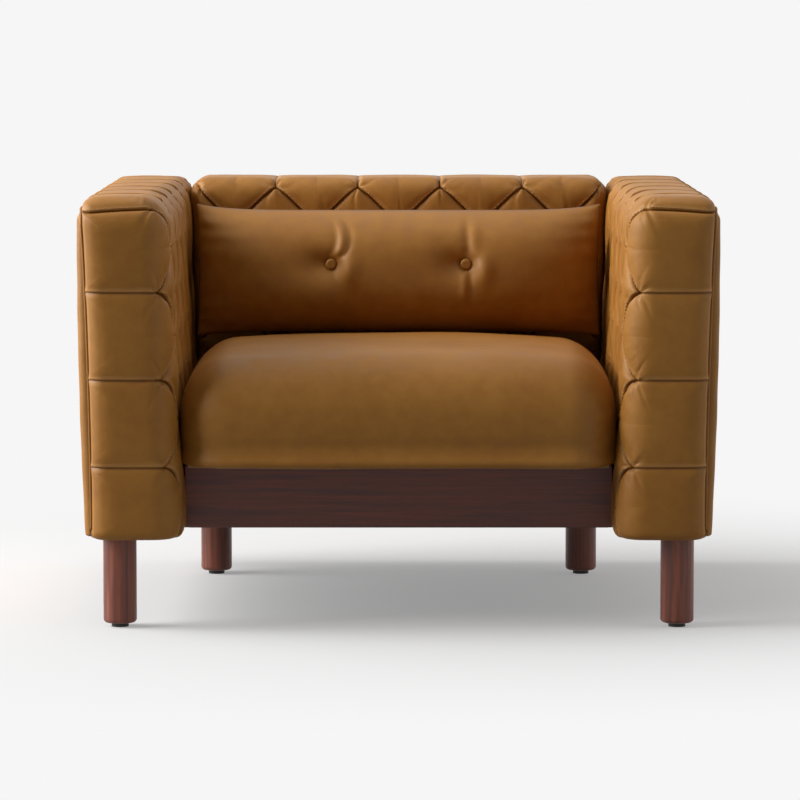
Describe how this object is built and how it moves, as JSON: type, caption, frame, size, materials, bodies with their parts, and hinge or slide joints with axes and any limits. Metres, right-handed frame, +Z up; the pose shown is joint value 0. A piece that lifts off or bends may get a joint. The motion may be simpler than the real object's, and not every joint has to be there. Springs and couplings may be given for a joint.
{
  "type": "armchair",
  "caption": "Square lounge chair with slab arms and back sewn in diamonds, a loose seat cushion, a buttoned lumbar pillow, a recessed wooden plinth and round legs.",
  "frame": {"origin": "on the floor, under the middle of the chair's outer box", "axes": "+X to the right as one faces the chair, +Y to the back, +Z up"},
  "size_m": [0.97, 0.86, 0.656],
  "materials": {
    "saddle_leather": "semi-aniline hide, soft sheen, fine grain",
    "walnut": "stained walnut under a satin lacquer",
    "frame_timber": "planed hardwood, unfinished",
    "plywood": "sanded plywood and hardboard, unfinished",
    "foam": "cut polyurethane foam with polyester wadding",
    "felt": "pressed felt pad",
    "black_cloth": "spunbonded cloth, matt",
    "zip_tape": "woven tape with nylon teeth",
    "waxed_twine": "waxed twisted twine",
    "spring_steel": "drawn and coated spring wire",
    "zinc_plated_steel": "bright zinc plate",
    "glide_nylon": "moulded nylon, matt"
  },
  "bodies": {
    "chair": {"right_arm_posts": "frame_timber", "right_arm_top_rail": "frame_timber", "right_arm_bottom_rail": "frame_timber", "right_arm_inner_board": "plywood", "right_arm_outer_board": "plywood", "right_arm_packing_rail": "frame_timber", "right_arm_foam": "foam", "right_arm_tufted_cover": "saddle_leather", "right_arm_outside_panel": "saddle_leather", "right_arm_welt": "saddle_leather", "left_arm_posts": "frame_timber", "left_arm_top_rail": "frame_timber", "left_arm_bottom_rail": "frame_timber", "left_arm_inner_board": "plywood", "left_arm_outer_board": "plywood", "left_arm_packing_rail": "frame_timber", "left_arm_foam": "foam", "left_arm_tufted_cover": "saddle_leather", "left_arm_outside_panel": "saddle_leather", "left_arm_welt": "saddle_leather", "back_tufted_cover": "saddle_leather", "back_foam": "foam", "back_bottom_rail": "frame_timber", "back_top_rail": "frame_timber", "back_uprights": "frame_timber", "back_board": "plywood", "outside_back_panel": "saddle_leather", "outside_back_welt": "saddle_leather", "front_rail": "walnut", "rear_rail": "walnut", "right_side_rail": "walnut", "left_side_rail": "walnut", "rear_leg_rail": "frame_timber", "corner_blocks": "frame_timber", "front_spring_rail": "frame_timber", "rear_spring_rail": "frame_timber", "seat_springs": "spring_steel", "spring_clips": "zinc_plated_steel", "front_deck_board": "plywood", "deck_felt": "felt", "deck_cloth": "black_cloth", "dust_cover": "black_cloth", "frame_bolts": "zinc_plated_steel", "front_left_leg": "walnut", "front_right_leg": "walnut", "rear_left_leg": "walnut", "rear_right_leg": "walnut", "leg_hanger_bolts": "zinc_plated_steel", "leg_inserts": "zinc_plated_steel", "leg_glides": "glide_nylon"},
    "seat_cushion": {"seat_cushion_cover": "saddle_leather", "seat_cushion_core": "foam", "seat_cushion_zip": "zip_tape"},
    "back_cushion": {"back_cushion_cover": "saddle_leather", "back_cushion_core": "foam", "back_cushion_front_buttons": "saddle_leather", "back_cushion_rear_buttons": "saddle_leather", "button_twine": "waxed_twine"}
  },
  "joints": [
    {"name": "seat_cushion_lift", "type": "slide", "parent": "chair", "child": "seat_cushion", "axis": [0, 0, 1], "range_m": [0, 0.43]},
    {"name": "back_cushion_lift", "type": "slide", "parent": "seat_cushion", "child": "back_cushion", "axis": [0, 0, 1], "range_m": [0, 0.26]}
  ]
}
